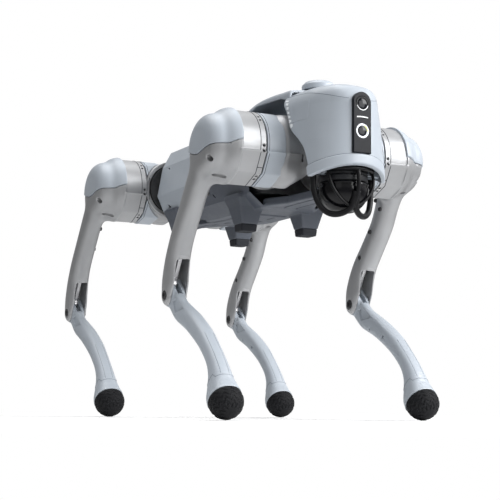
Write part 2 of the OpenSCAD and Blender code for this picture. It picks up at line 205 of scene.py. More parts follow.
def field_mesh(field, low, high, step):
    """Points, faces of three and four corners, and a normal for every face corner, of a field's surface."""
    ticks = [np.arange(int((b - a) / step) + 2) * step + a for a, b in zip(low, high)]
    values = field(*np.meshgrid(*ticks, indexing="ij", sparse=True))
    values = np.broadcast_to(values, [len(t) for t in ticks])
    grid = openvdb.FloatGrid(background=3.0)
    grid.copyFromArray(np.ascontiguousarray(np.clip(values / step, -3, 3), np.float32))
    points, threes, fours = grid.convertToPolygons(isovalue=0.0, adaptivity=0.0)
    points = points.astype(float) * step + np.array(low, float)
    points = land(field, points, step / 2, 2)
    points = land(field, snap_to_edges(field, points, 0.55 * step), step / 4, 2)
    normals = []
    for group in (threes, fours):
        spots = points[group]
        inner = spots * 0.7 + spots.mean(1, keepdims=True) * 0.3
        slope, _ = gradient(field, inner.reshape(-1, 3), 0.12)
        normals.append((slope / np.maximum(np.linalg.norm(slope, axis=1), 1e-9)[:, None]).reshape(-1, 3))
    return points, [threes, fours], normals


def land(field, points, longest=4.0, tries=12, lift=0.0):
    """Moves points along the field's slope onto its surface, or above it by lift."""
    points = np.array(points, float)
    for _ in range(tries):
        slope, value = gradient(field, points)
        move = slope * ((value - lift) / np.maximum((slope ** 2).sum(1), 0.05))[:, None]
        points = points - np.clip(move, -longest, longest)
    return points


def snap_to_edges(field, points, reach):
    """Pulls points near a sharp edge onto it: each goes where the tangent planes around it meet."""
    planes, pull = np.zeros((len(points), 3, 3)), np.zeros((len(points), 3))
    for way in np.array([(a, b, c) for a in (-1, 1) for b in (-1, 1) for c in (-1, 1)]) * 0.6:
        near = land(field, points + way * reach, reach, 1)
        slope, value = gradient(field, near, 0.12)
        size = np.maximum(np.linalg.norm(slope, axis=1), 0.2)
        normal = slope / size[:, None]
        height = (normal * (near - points)).sum(1) - value / size
        planes += normal[:, :, None] * normal[:, None, :]
        pull += normal * height[:, None]
    planes += 0.08 * np.eye(3)
    move = np.linalg.solve(planes, pull[:, :, None])[:, :, 0]
    length = np.linalg.norm(move, axis=1)
    return points + move * np.minimum(1, 1.3 * reach / np.maximum(length, 1e-9))[:, None]


def gradient(field, points, reach=0.25):
    x, y, z = points.T
    slope = np.stack([field(x + reach, y, z) - field(x - reach, y, z),
                      field(x, y + reach, z) - field(x, y - reach, z),
                      field(x, y, z + reach) - field(x, y, z - reach)], 1) / (2 * reach)
    return slope, field(x, y, z)


def turned(profile, sides=64):
    """Points and faces of (radius, height) rows turned about Z."""
    points, faces = [], []
    for r, h in profile:
        for i in range(sides):
            a = 2 * math.pi * i / sides
            points.append((r * math.cos(a), r * math.sin(a), h))
    for row in range(len(profile) - 1):
        for i in range(sides):
            j = (i + 1) % sides
            faces.append((row * sides + i, row * sides + j, (row + 1) * sides + j, (row + 1) * sides + i))
    faces.append(tuple(range((len(profile) - 1) * sides, len(profile) * sides)))
    faces.append(tuple(reversed(range(sides))))
    return np.array(points), faces


def moved(points, move):
    return points @ move[:3, :3].T + move[:3, 3]


def shift(x, y, z):
    move = np.eye(4)
    move[:3, 3] = x, y, z
    return move


def turn_y(angle):
    move = np.eye(4)
    move[0, 0] = move[2, 2] = math.cos(angle)
    move[0, 2], move[2, 0] = math.sin(angle), -math.sin(angle)
    return move


def aim(spot, direction):
    """Carries the Z axis to a direction at a spot."""
    z = np.array(direction, float) / np.linalg.norm(direction)
    x = np.cross(z, (0.31, 0.52, 0.79))
    x /= np.linalg.norm(x)
    move = np.eye(4)
    move[:3, :3] = np.stack([x, np.cross(z, x), z], 1)
    move[:3, 3] = spot
    return move


LEVEL = shift(0, 0, HIP_Z)


def leg_place(front, left, part):
    """From a leg piece's own frame to the world. Part is hip, thigh or calf."""
    sideways, backwards = np.diag([1.0, left, 1, 1]), shift(0 if front > 0 else -2 * HIP_X, 0, 0)
    if part == "calf":
        own = shift(*KNEE) @ turn_y(TILT)
    elif part == "thigh":
        own = shift(HIP_X, ABDUCT_Y, HIP_Z) @ turn_y(LEAN)
    else:
        own = shift(HIP_X, ABDUCT_Y, HIP_Z) @ np.diag([1.0 * front, 1, 1, 1])
    return sideways @ backwards @ own


def add_piece(name, shape, move, body, slot_name, replaces=(), sharp=None):
    """A mesh piece riding on a body. A shape is points in millimetres, faces and perhaps corner normals."""
    points, faces, normals = shape if len(shape) == 3 else (*shape, None)
    flipped = np.linalg.det(move[:3, :3]) < 0
    mesh = bpy.data.meshes.new(name)
    if normals is None:
        faces = [face[::-1] if flipped else face for face in faces]
        mesh.from_pydata((moved(points, move) / 1000).tolist(), [], [list(face) for face in faces])
        mesh.shade_smooth()
        if sharp:
            mesh.set_sharp_from_angle(angle=math.radians(sharp))
    else:
        turn = move[:3, :3].T
        groups, kept = [], []
        for group, part in zip(faces, normals):
            part = (part @ turn).reshape(len(group), group.shape[1], 3)
            groups.append(group[:, ::-1] if flipped else group)
            kept.append((part[:, ::-1] if flipped else part).reshape(-1, 3))
        sizes = np.concatenate([np.full(len(group), group.shape[1], np.int32) for group in groups])
        corners = np.concatenate([group.ravel() for group in groups]).astype(np.int32)
        mesh.vertices.add(len(points))
        mesh.vertices.foreach_set("co", (moved(points, move) / 1000).astype(np.float32).ravel())
        mesh.loops.add(len(corners))
        mesh.loops.foreach_set("vertex_index", corners)
        mesh.polygons.add(len(sizes))
        mesh.polygons.foreach_set("loop_start", np.concatenate([[0], np.cumsum(sizes)[:-1]]).astype(np.int32))
        mesh.update(calc_edges=True)
        mesh.shade_smooth()
        mesh.normals_split_custom_set(np.concatenate(kept).tolist())
    dress(linked(name, mesh), body, slot_name, replaces)


def dress(made, body, slot_name, replaces=()):
    """Gives a piece its finish and its body, and hides the CAD nodes it replaces."""
    made.data.materials.append(FINISHES[slot_name])
    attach(made, body)
    if replaces:
        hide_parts(*replaces)


def linked(name, data):
    """An object in the scene."""
    made = bpy.data.objects.new(name, data)
    bpy.context.scene.collection.objects.link(made)
    return made


def tube(name, spots, radius, body, slot_name, replaces=()):
    """A round tube along spots in trunk millimetres."""
    curve = bpy.data.curves.new(name, "CURVE")
    curve.dimensions = "3D"
    curve.bevel_depth = radius / 1000
    curve.bevel_resolution = 6
    curve.use_fill_caps = True
    line = curve.splines.new("POLY")
    line.points.add(len(spots) - 1)
    for point, spot in zip(line.points, spots):
        point.co = (*(moved(np.array([spot]), LEVEL)[0] / 1000), 1)
    line.use_smooth = True
    dress(linked(name, curve), body, slot_name, replaces)


def cord(spots, radius, closed=True, sides=6):
    """A thin round cord through spots: a dark line laid along a seam, painted shade of its narrow gap."""
    spots = np.array(spots, float)
    ahead, behind = np.roll(spots, -1, 0), np.roll(spots, 1, 0)
    if not closed:
        ahead[-1], behind[0] = spots[-1], spots[0]
    way = ahead - behind
    way /= np.linalg.norm(way, axis=1)[:, None]
    side = np.cross(way, (0.33, 0.71, 0.62))
    side /= np.linalg.norm(side, axis=1)[:, None]
    lift = np.cross(way, side)
    rings = [spots + radius * (math.cos(a) * side + math.sin(a) * lift)
             for a in np.linspace(0, 2 * math.pi, sides, endpoint=False)]
    points = np.stack(rings, 1).reshape(-1, 3)
    count, faces = len(spots), []
    for i in range(count if closed else count - 1):
        for k in range(sides):
            n, m = (i + 1) % count, (k + 1) % sides
            faces.append((i * sides + k, n * sides + k, n * sides + m, i * sides + m))
    if not closed:
        faces += [tuple(range(sides)), tuple(reversed(range((count - 1) * sides, count * sides)))]
    return points, faces


def land_along(field, spots, axis, lift=0.0, tries=10):
    """Lands spots while one coordinate stays as it is."""
    spots = np.array(spots, float)
    kept = spots[:, axis].copy()
    for _ in range(tries):
        spots = land(field, spots, tries=1, lift=lift)
        spots[:, axis] = kept
    return spots


def patch(field, corners, lift, sink=0.6, across=8, down=4):
    """A thin raised patch over a surface, from four corners, with its skirt sunk into the surface."""
    a, b, c, d = [np.array(corner, float) for corner in corners]
    grid = []
    for j in range(down + 1):
        for i in range(across + 1):
            u, v = i / across, j / down
            grid.append((a * (1 - u) + b * u) * (1 - v) + (d * (1 - u) + c * u) * v)
    top, low = land(field, grid, lift=lift), land(field, grid, lift=-sink)
    width, count = across + 1, len(grid)
    faces = [(j * width + i, j * width + i + 1, (j + 1) * width + i + 1, (j + 1) * width + i)
             for j in range(down) for i in range(across)]
    rim = (list(range(width)) + [j * width + across for j in range(1, down + 1)]
           + [down * width + i for i in range(across - 1, -1, -1)]
           + [j * width for j in range(down - 1, 0, -1)])
    faces = [face[::-1] for face in faces]
    faces += [(p, q, q + count, p + count) for p, q in zip(rim, rim[1:] + rim[:1])]
    spread = np.vstack([top, low])
    first = faces[0]
    normal = np.cross(spread[first[1]] - spread[first[0]], spread[first[2]] - spread[first[0]])
    slope, _ = gradient(field, top[:1])
    if normal @ slope[0] < 0:
        faces = [face[::-1] for face in faces]
    return spread, faces


def joined(shapes):
    """One shape from many turned ones."""
    points, faces, count = [], [], 0
    for some, their in shapes:
        points.append(some)
        faces += [tuple(i + count for i in face) for face in their]
        count += len(some)
    return np.vstack(points), faces


# ---------- finishes ----------


def map_range(nodes, links, value, low, high, to_low, to_high):
    node = nodes.new("ShaderNodeMapRange")
    links.new(value, node.inputs[0])
    for i, number in enumerate((low, high, to_low, to_high)):
        node.inputs[i + 1].default_value = number
    return node.outputs[0]


def finish(name, colour, rough, metal=0.0, coat=0.0, grain=(900, 0.05), mottle=0.05, wear_and_crease_shade=0.0, dust=0.0,
           speck=0.0, spec=0.5, glow=0.0):
    """A procedural surface: mottled colour, uneven roughness, fine grain, worn lighter edges with painted shade
    darkening the creases, dust near the ground.
    """
    made = bpy.data.materials.new(name)
    made.use_nodes = True
    nodes, links = made.node_tree.nodes, made.node_tree.links
    surface = nodes["Principled BSDF"]

    def add(kind, **values):
        node = nodes.new(kind)
        for key, value in values.items():
            if hasattr(node, key):
                setattr(node, key, value)
            else:
                node.inputs[key.replace("_", " ")].default_value = value
        return node

    def mix(factor, a, b):
        node = add("ShaderNodeMix", data_type="RGBA")
        for socket, value in ((node.inputs[0], factor), (node.inputs[6], a), (node.inputs[7], b)):
            if isinstance(value, (int, float, tuple)):
                socket.default_value = value
            else:
                links.new(value, socket)
        return node.outputs[2]

    def span(*values):
        return map_range(nodes, links, *values)

    def tinted(scale, plus=0.0):
        return tuple(min(1.0, c * scale + plus) for c in colour) + (1.0,)

    place = nodes.new("ShaderNodeTexCoord").outputs["Object"]
    broad = add("ShaderNodeTexNoise", Scale=14.0, Detail=4.0, Roughness=0.6)
    fine = add("ShaderNodeTexNoise", Scale=float(grain[0]), Detail=3.0, Roughness=0.7)
    smear = add("ShaderNodeTexNoise", Scale=60.0, Detail=5.0, Roughness=0.65)
    for node in (broad, fine, smear):
        links.new(place, node.inputs["Vector"])
    shade = mix(span(broad.outputs[0], 0.3, 0.7, 0, 1), tinted(1 - mottle), tinted(1 + mottle))
    if speck:
        dots = add("ShaderNodeTexVoronoi", Scale=1400.0)
        links.new(place, dots.inputs["Vector"])
        shade = mix(span(dots.outputs[0], 0.0, 0.3, speck, 0.0), shade, tinted(1.9))
    if wear_and_crease_shade:
        edge = nodes.new("ShaderNodeNewGeometry").outputs["Pointiness"]
        worn = add("ShaderNodeMath", operation="MULTIPLY")
        links.new(span(edge, 0.505, 0.56, 0, wear_and_crease_shade), worn.inputs[0])
        links.new(span(smear.outputs[0], 0.35, 0.6, 0.3, 1), worn.inputs[1])
        shade = mix(worn.outputs[0], shade, tinted(1.35, 0.08))
        # painted shade: creases and hollows, where the pointiness is low, are darkened
        shade = mix(span(edge, 0.40, 0.49, 0.45, 0), shade, tinted(0.35))
    if dust:
        height = nodes.new("ShaderNodeSeparateXYZ")
        links.new(place, height.inputs[0])
        low = add("ShaderNodeMath", operation="MULTIPLY")
        links.new(span(height.outputs["Z"], 0.0, 0.11, dust, 0), low.inputs[0])
        links.new(span(smear.outputs[0], 0.35, 0.65, 0.2, 1), low.inputs[1])
        shade = mix(low.outputs[0], shade, (0.42, 0.40, 0.37, 1.0))
    links.new(shade, surface.inputs["Base Color"])
    links.new(span(smear.outputs[0], 0.3, 0.7, rough * 0.88, min(1, rough * 1.14)), surface.inputs["Roughness"])
    bump = add("ShaderNodeBump", Strength=grain[1], Distance=0.0004)
    links.new(fine.outputs[0], bump.inputs["Height"])
    links.new(bump.outputs[0], surface.inputs["Normal"])
    values = {"Metallic": metal, "Coat Weight": coat, "Coat Roughness": 0.12, "Specular IOR Level": spec}
    if glow:
        values |= {"Emission Color": (*colour, 1), "Emission Strength": glow}
    for socket, value in values.items():
        surface.inputs[socket].default_value = value
    return made


FINISHES = {name: finish(name, colour, rough, **rest) for name, colour, rough, rest in [
    ("shell_plastic", (0.355, 0.392, 0.437), 0.40,
     dict(coat=0.06, grain=(1500, 0.12), mottle=0.03, wear_and_crease_shade=0.2, dust=0.05, speck=0.04)),
    ("cast_alloy", (0.34, 0.345, 0.355), 0.40, dict(metal=0.5, grain=(1100, 0.2), wear_and_crease_shade=0.3, speck=0.08)),
    ("belly_plastic", (0.075, 0.085, 0.105), 0.50,
     dict(grain=(1300, 0.25), mottle=0.06, wear_and_crease_shade=0.2, speck=0.05, spec=0.35)),
    ("chassis_alloy", (0.03, 0.032, 0.035), 0.5, dict(metal=0.4, grain=(700, 0.15), wear_and_crease_shade=0.4, spec=0.3)),
    ("motor_can", (0.02, 0.021, 0.023), 0.45, dict(metal=0.3, grain=(800, 0.12), wear_and_crease_shade=0.4, spec=0.3)),
    ("machined_steel", (0.42, 0.42, 0.43), 0.28, dict(metal=0.95, grain=(1200, 0.15), wear_and_crease_shade=0.5)),
    ("dark_steel", (0.02, 0.02, 0.022), 0.40, dict(metal=0.4, grain=(900, 0.15), wear_and_crease_shade=0.5, spec=0.3)),
    ("foot_rubber", (0.007, 0.0075, 0.009), 0.6, dict(grain=(700, 0.5), mottle=0.2, dust=0.008, spec=0.14)),
    ("pad_rubber", (0.024, 0.026, 0.032), 0.6, dict(grain=(700, 0.4), mottle=0.2, dust=0.008, spec=0.2)),
    ("circuit_board", (0.01, 0.09, 0.04), 0.4, dict(coat=0.4, grain=(400, 0.3), mottle=0.3)),
    ("battery_case", (0.30, 0.335, 0.385), 0.42, dict(coat=0.05, grain=(1300, 0.2), wear_and_crease_shade=0.3)),
    ("button_plastic", (0.7, 0.7, 0.7), 0.35, dict(grain=(900, 0.1))),
    ("gloss_black", (0.006, 0.007, 0.010), 0.22, dict(coat=0.03, grain=(500, 0.02), mottle=0.2, spec=0.1)),
    ("lens_glass", (0.002, 0.003, 0.006), 0.06, dict(coat=0.12, grain=(300, 0.01), mottle=0.3, spec=0.15)),
    ("lamp_lens", (0.86, 0.90, 0.95), 0.25, dict(grain=(600, 0.02), glow=0.25)),
    ("sensor_black", (0.010, 0.011, 0.013), 0.40, dict(grain=(900, 0.2), mottle=0.2, wear_and_crease_shade=0.2, spec=0.25)),
    ("sensor_gloss", (0.003, 0.003, 0.004), 0.14, dict(coat=0.1, grain=(500, 0.03), mottle=0.2, spec=0.2)),
    ("guard_black", (0.004, 0.004, 0.005), 0.36, dict(grain=(1000, 0.1), mottle=0.2, wear_and_crease_shade=0.1, spec=0.14)),
    # white print marks and nose bar, and the painted highlight on the camera lens
    ("mark_white", (0.86, 0.88, 0.90), 0.42, dict(grain=(1500, 0.1), mottle=0.02)),
    # painted reflection: a glowing yellow-green glint on the lamp
    ("lamp_glint", (0.75, 0.85, 0.10), 0.25, dict(grain=(600, 0.02), glow=0.3)),
    # painted shade: the dark colours of the cords laid along seams, gaps and slots
    ("seam", (0.03, 0.033, 0.038), 0.6, dict(grain=(900, 0.1), spec=0.2)),
    ("seam_pale", (0.16, 0.18, 0.21), 0.6, dict(grain=(900, 0.1), spec=0.2)),
]}

# ---------- leg fields ----------

# the shoulder cap's lower edge: x and z from the hip axis
CAP_LINE = smooth_rows([(-90, -12), (-60, -19), (-40, -21.5), (-26, -21.6), (-10, -18), (2, -14), (8, -10.5),
                        (14, -4.5), (20, 2.2), (25.5, 8), (30, 12.5), (35.5, 16.5), (38.5, 21), (42, 29), (52, 50),
                        (90, 120)], 6)
# the thigh's beam and the calf: x, z, half width in x, middle and half width across
BEAM = [(-2, -14, 27, 95, 17), (-4, -34, 22, 96, 16.5), (-6, -60, 17.6, 98, 15.5), (-6, -92, 16.6, 99.5, 15.3),
        (-10.8, -130, 17.2, 99, 15.3), (-13.2, -156, 18, 97.5, 15.8), (-11.5, -176, 20, 96.5, 16.3),
        (-6.5, -196, 22.5, 95.8, 16.5), (-2, -210, 19, 95.5, 16.5), (-0.5, -214, 17, 95.5, 16.5)]
CALF = [(0, 0, 15, 0, 9), (0.2, -16, 15.2, 0, 9), (1.2, -33, 15, 0, 9.3), (6.8, -50.5, 13.9, 0, 11),
        (14.5, -75, 12.9, 0, 12), (21.3, -109, 12, 0, 12.2), (22.6, -133, 11, 0, 11.8), (21.4, -156, 11.3, 0, 12),
        (16.9, -173.5, 13.5, 0, 13.6), (10.4, -187, 16.8, 0, 16.6), (5.5, -199, 20.3, 0, 20.2),
        (4, -207, 21.4, 0, 21.4)]
CRANK_R, CRANK_ANGLE = 16, math.radians(123)
LUG = (-CRANK_R * math.cos(CRANK_ANGLE), CRANK_R * math.sin(CRANK_ANGLE))
# motor drum radius, place of its screws along the leg, the fork's half gap, the knee pin's half length
DRUM_R, BAND_Y, FORK_GAP, PIN_OUT = 47, 45.2, 9.4, 14.2
# screws: x and z on the thigh's faces, degrees round the motor drum, y and z on the hip casting
COVER_SCREW = (30.5, -7)
INNER_SCREWS = [(-16, -60), (0, -66), (-8, -104), (-13, -146)]
BAND_SCREWS = [76, 22, -30]
DOME_SCREWS = [(-20, 26)]


def over_cap_line(x, z, gap):
    """Negative above the shoulder cap's wavy lower edge."""
    steep = np.gradient(CAP_LINE[:, 1], CAP_LINE[:, 0])
    rise = np.interp(x, CAP_LINE[:, 0], steep)
    return (np.interp(x, CAP_LINE[:, 0], CAP_LINE[:, 1]) - z) / np.sqrt(1 + rise ** 2) + gap


def knee_motor_form(x, y, z):
    """The two rounded steps over the knee motor, and the top of the thigh's beam running out of them."""
    drop = np.sqrt(np.clip(1 - (np.maximum(y - 73, 0) / 33.5) ** 2, 0.02, 1))
    wide = both((np.hypot(x, z) - 49.2 * drop) * np.clip(drop, 0.25, 1), slab(y, 40, 104))
    narrow = prism(disc(x, z, 39.5), slab(y, 40, 114.2), 20)
    return union(union(wide, narrow, 4.5), limb(x, z, y, BEAM), 12)


# the ends of a shallow slot in the casting's lower face
RECESS = land(knee_motor_form, [(28, 95.5, -31), (37, 87, -30)], lift=-1.6)


def thigh_field(x, y, z):
    form = knee_motor_form(x, y, z)
    hub = prism(drum(x, z, DRUM_R), slab(y, 41, 77), 1.2)
    casting = both(both(form + 0.7, -over_cap_line(x, z, -0.5), 0.8), 75.6 - y)
    cover_seat = both(form + 2.8, 70 - y)
    body = both(union(union(hub, casting, 2.5), cover_seat), slab(y, 41, 130), 0.8)
    slot_front = brick(x, y, z, (-24.5, LEG_Y - FORK_GAP, -260), (70, LEG_Y + FORK_GAP, -158.5), 4.5)
    slot_rear = brick(x, y, z, (-60, LEG_Y - FORK_GAP, -260), (10, LEG_Y + FORK_GAP, -200), 2.0)
    lane = brick(x, y, z, (-20.6, LEG_Y - 4, -170), (0.6, LEG_Y + 4, -40), 1.0)
    cavity = union(prism(disc(x, z, 40), slab(y, 30, 79), 1), prism(disc(x, z, 27), slab(y, 70, 99.5), 1))
    cuts = [(union(slot_front, slot_rear), 1.6), (lane, 0.5), (cavity, 0.5), (disc(x, z + THIGH_LEN, 5.1), 0.4),
            (both(disc(x, z, 3.9, *COVER_SCREW), slab(y, 99, 130)), 0.8),
            (both(disc(x, z, 1.8, 5.0, -153), slab(y, 60, 130)), 0.8)]
    for side in (-1, 1):
        cuts.append((both(disc(x, z + THIGH_LEN, 7.2), -side * (y - LEG_Y) + PIN_OUT), 0.8))
    cuts.append((capsule(x, y, z, *RECESS, 3.3), 0.5))
    for spot in INNER_SCREWS:
        cuts.append((both(disc(x, z, 3.4, *spot), slab(y, 70, 84.5)), 0.6))
    for angle in BAND_SCREWS:
        ux, uz = math.cos(math.radians(angle)), math.sin(math.radians(angle))
        for aside in (-3.4, 3.4):
            off = np.hypot(z * ux - x * uz - aside, y - BAND_Y)
            cuts.append((both(off - 1.9, 44.2 - (x * ux + z * uz)), 0.5))
    return carve(body, cuts)


def cap_field(x, y, z):
    form = knee_motor_form(x, y, z)
    body = both(form - 0.5, over_cap_line(x, z, 0.3), 0.7)
    body = both(body, slab(y, 74.2, 130), 0.6)
    return cut(body, form + 2.2)


def dome_field(x, y, z):
    """The hip casting: a rounded barrel along X joined to a short drum along Y."""
    barrel = prism(disc(y, z, 43), slab(x, -45.5, 40), 22)
    skirt = prism(disc(y, z, 43), slab(x, -45.5, 0), 1.5)
    front = both(prism(drum(x, z, 45.2, LEAN), slab(y, -12, 13.2), 6), -x - 2, 1.0)
    collar = prism(disc(x, z, 44), slab(y, 0, 40), 0.8)
    body = union(union(union(barrel, skirt), front, 10), collar, 1.5)
    body = cut(body, prism(disc(y, z, 37), slab(x, -60, 6), 0.5), 0.4)
    body = union(body, prism(disc(y, z, 12), slab(x, -20, 8), 0.5))
    slit = strap(y, z, (-12, -10), 1.7, (-12, -17), 1.7)
    cuts = [(both(slab(x, -42.8, -40.2), 41.8 - np.hypot(y, z)), 0.5), (both(slit, 34 - x), 0.6)]
    cuts += [(both(disc(y, z, 2.3, *spot), 24 - x), 0.5) for spot in DOME_SCREWS]
    return carve(body, cuts)


def ring_field(x, y, z):
    body = prism(drum(x, z, DRUM_R, LEAN), slab(y, 13.5, 40), 1.1)
    barrel = both(disc(y, z, 43.4), x)
    top_flat = brick(x, y, z, (-13, 17, 46.2), (13, 34, 60), 1.0)
    return carve(body, [(disc(x, z, 44.15), 0.4), (barrel, 0.4), (top_flat, 0.8)])


def shin_skin(x, y, z):
    return limb(x, z, y, CALF, 2.5)


def calf_field(x, y, z):
    head = prism(union(disc(x, z, 15), strap(x, z, (0, 0), 14, LUG, 6.5), 2), slab(y, -9, 9), 1.2)
    body = both(union(shin_skin(x, y, z), head, 2), slab(z, -204.6, 60), 0.8)
    slot = both(both(slab(y, -3.6, 3.6), slab(x, -7, 60)), slab(z, -14, 60))
    cuts = [(cut(slot, disc(x, z, 8)), 0.6), (disc(x, z, 5.06), 0.4)]
    hollow = polygon(x, z, [(2, -15), (11, -17), (20, -55), (-6, -33)]) + 2
    cuts += [(prism(hollow, slab(side * y, 6.6, 30), 0.8), 1.2) for side in (-1, 1)]
    cuts += [(both(disc(x, z, 2.4, *spot), y + 9.5), 0.6) for spot in ((5, -60), (18.5, -94))]
    return carve(body, cuts)


def foot_field(x, y, z):
    sphere = ball(x, y, z, (FOOT_LEAD, 0, -CALF_LEN), FOOT_R)
    body = both(sphere, slab(z, -CALF_LEN - 23, -205.0), 0.8)
    around = np.arctan2(y, x - FOOT_LEAD)
    wave = 1.6 * np.cos(around * 12)
    for level, depth in ((-211, 0.7), (-216.5, 0.9), (-222, 0.9), (-227, 0.9)):
        rib = both(np.abs(z - level - wave) - 1.1, -sphere - depth)
        body = cut(body, rib, 1.0)
    return body


def rod_field(x, y, z):
    """The push rod, from the crank pin down to the calf's lug."""
    shaft = prism(slab(x, -3.3, 3.3), slab(y, -3, 3), 1.0)
    shaft = both(shaft, slab(z, -THIGH_LEN, 0))
    body = union(shaft, union(prism(disc(x, z, 7), slab(y, -3, 3), 0.8),
                              prism(disc(x, z + THIGH_LEN, 6.4), slab(y, -3, 3), 0.8)), 2)
    for level, r in ((0, 4.05), (-THIGH_LEN, 3.05)):
        body = cut(body, disc(x, z - level, r), 0.3)
    waist = both(slab(z, -THIGH_LEN + 16, -16), np.abs(x) - 1.8, 1.5)
    return cut(body, both(waist, 2.0 - np.abs(y)), 0.8)


# ---------- trunk fields ----------


def shell_section(y, z, inset):
    """Signed distance to the trunk's cross section."""
    corners = [(-80, 62), (34, 62), (54, 54), (67, 30), (75, -14), (62, -48), (42, -64), (-80, -64)]
    return polygon(np.abs(y), z, corners) + inset


# the trunk's half length, walls of trunk and head
TRUNK_END, TRUNK_WALL, HEAD_WALL = 142, 3.0, 3.2


def split_level(x):
    """Height of the seam between the two body colours."""
    return np.interp(x, [-TRUNK_END, -70, 12, TRUNK_END], [-51, -51, -14, -14])


def keel_rise(x):
    """How far the underside climbs towards the rear."""
    return 11 * np.clip((10 - x) / (10 + TRUNK_END), 0, 1) ** 1.3


def body_hull(x, y, z):
    low = z - keel_rise(x) * np.clip((-z - 14) / 50, 0, 1)
    return both(shell_section(y, low, 4) - 4, slab(x, -TRUNK_END, TRUNK_END), 7)


def half_shell(x, y, z, way):
    """The trunk's skin above (way 1) or below (way -1) the seam, open at both ends."""
    hull = body_hull(x, y, z)
    body = cut(hull, hull + TRUNK_WALL, 0.3)
    body = both(body, (0.35 - way * (z - split_level(x))) * 0.9, 0.5)
    if way > 0:
        body = both(body, slab(x, -141.9, 141.9), 0.4)
    return cut(body, prism(shell_section(y, z, TRUNK_WALL), slab(x, -170, 170), 0.3), 0.4)


def battery_hole(x, y, z, gap):
    return both(both(slab(x, -70 - gap, 70 + gap), slab(z, -40 - gap, 30 + gap), 3), -y - 40)


def top_field(x, y, z):
    body = half_shell(x, y, z, 1)
    body = union(body, brick(x, y, z, (-205, -20, 52), (-138, 20, 62), 3), 3)
    body = union(body, hood(x, y, z), 3)
    cuts = [(battery_hole(x, y, z, 0.7), 0.4)]
    for px in (-100, 20):
        for py in (-25, 25):
            cuts.append((both(disc(x, y, 2.2, px, py), 45 - z), 0.4))
            cuts.append((both(disc(x, y, 5.0, px, py), 61.2 - z), 0.3))
    for line in (-30, 30):
        cuts.append((both(np.abs(y - line) - 0.5, both(slab(x, -132, 40), 61.1 - z)), 0.3))
    for side in (-1, 1):
        for px, pz in ((-112, 26), (-112, -30)):
            cuts.append((both(strap(x, z, (px, pz), 1.2, (px + 5, pz - 3), 1.2), 60 - side * y), 0.4))
    return carve(body, cuts)


# heights along the hood's roof
HOOD_TOP = smooth_rows([(30, 61.5), (52, 63), (78, 70.5), (104, 78.5), (130, 82.6), (165, 83), (200, 81),
                        (224, 78.5)], 6)


def hood(x, y, z):
    """The roof and cheeks over the front hips."""
    side = np.abs(y)
    crown = np.interp(x, HOOD_TOP[:, 0], HOOD_TOP[:, 1]) - 0.035 * np.maximum(side - 22, 0) ** 1.35
    top = (z - crown) * 0.93
    width = np.interp(x, [40, 90, 192, 215], [46, 44, 42.5, 46])
    outer = both(both(top, side - width, 7), slab(x, 36, 222), 1.0)
    shell = cut(outer, both(top + HEAD_WALL, side - width + HEAD_WALL, 5), 0.5)
    low = np.interp(x, [40, 90, 125, 192, 222], [54, 66, 74.5, 71, 62])
    return both(shell, (low - z) * 0.95, 0.8)


BUTTON_X, BUTTON_Z = 40, 8
# the standing pads: place of their middles, and how much higher the rear ones sit
PAD_X, PAD_Y, PAD_LIFT = 102, 46.5, 8


def rail(x, y, level, start, end, widths):
    """A flat bar under the trunk's middle, as wide as its rows of x and half width say."""
    half = np.interp(x, *zip(*widths))
    return both(both(slab(x, start, end), np.abs(y) - half, 4), slab(level, -63, -52), 3)


def belly_field(x, y, z):
    hull, level = body_hull(x, y, z), z - keel_rise(x)
    body = half_shell(x, y, z, -1)
    keel = rail(x, y, z, 136, 264, [(136, 40), (175, 22), (230, 17), (264, 26)])
    tail = rail(x, y, level, -202, -136, [(-202, 18), (-175, 18), (-136, 38)])
    groove = both(np.abs(np.abs(y) - 9) - 1.2, level + 61.8)
    body = union(body, cut(union(keel, tail), groove, 0.5), 4)
    for px in (-PAD_X, PAD_X):
        lift = PAD_LIFT if px < 0 else 0
        wide = np.interp(z - lift, [-84, -62, -50], [12.5, 18, 23])
        post = both(np.abs(x - px) - wide, np.abs(np.abs(y) - PAD_Y) - wide, 3)
        post = both(post, slab(z - lift, -84, -45), 0.8)
        body = union(body, cut(post, both(hull + 1, -z - 60)), 3)
    pan = both(both(slab(x, -80, 80), np.abs(y) - 30, 6), slab(level, -66.0, -58), 1.5)
    body = union(body, pan, 1.5)
    cuts = [(both(strap(x, np.abs(y), (px - 9, 14), 1.6, (px + 9, 14), 1.6), level + 64.6), 0.6)
            for px in (-60, -20, 20, 60)]
    cuts.append((battery_hole(x, y, z, 0.7), 0.4))
    for side in (-1, 1):
        for px, pz in ((120, -30), (40, -36)):
            cuts.append((both(strap(x, z, (px, pz), 1.3, (px + 4, pz - 4), 1.3), 40 - side * y), 0.4))
    return carve(body, cuts)


def pads_field(x, y, z):
    z = z - PAD_LIFT * (x < 0)
    wide = np.interp(z, [-94, -84], [11.2, 12.2])
    block = both(np.abs(np.abs(x) - PAD_X) - wide, np.abs(np.abs(y) - PAD_Y) - wide, 3)
    body = both(block, slab(z, -94, -84), 1.6)
    groove = both(np.abs(np.mod(x + 2.5, 5) - 2.5) - 0.6, z + 93.2)
    return cut(body, groove, 0.4)


def battery_field(x, y, z):
    hull = body_hull(x, y, z)
    body = both(both(slab(x, -70, 70), slab(z, -40, 30), 3), -y - 40, 1.0)
    grip = prism(strap(x, z, (-30, -22), 5, (10, -22), 5), slab(y, 66, 90), 1.5)
    rim = np.abs(both(slab(x, -64, 64), slab(z, -34, 24), 4)) - 0.4
    cuts = [(grip, 1.5), (both(rim, -hull - 0.9), 0.3),
            (both(disc(x, z, 7.3, BUTTON_X, BUTTON_Z), 63 - y), 0.5)]
    for light_x in (18, 11, 4, -3):
        light = strap(x, z, (light_x, BUTTON_Z), 1.1, (light_x - 3.5, BUTTON_Z), 1.1)
        cuts.append((both(light, 69 - y), 0.3))
    return carve(both(body, hull, 1.0), cuts)


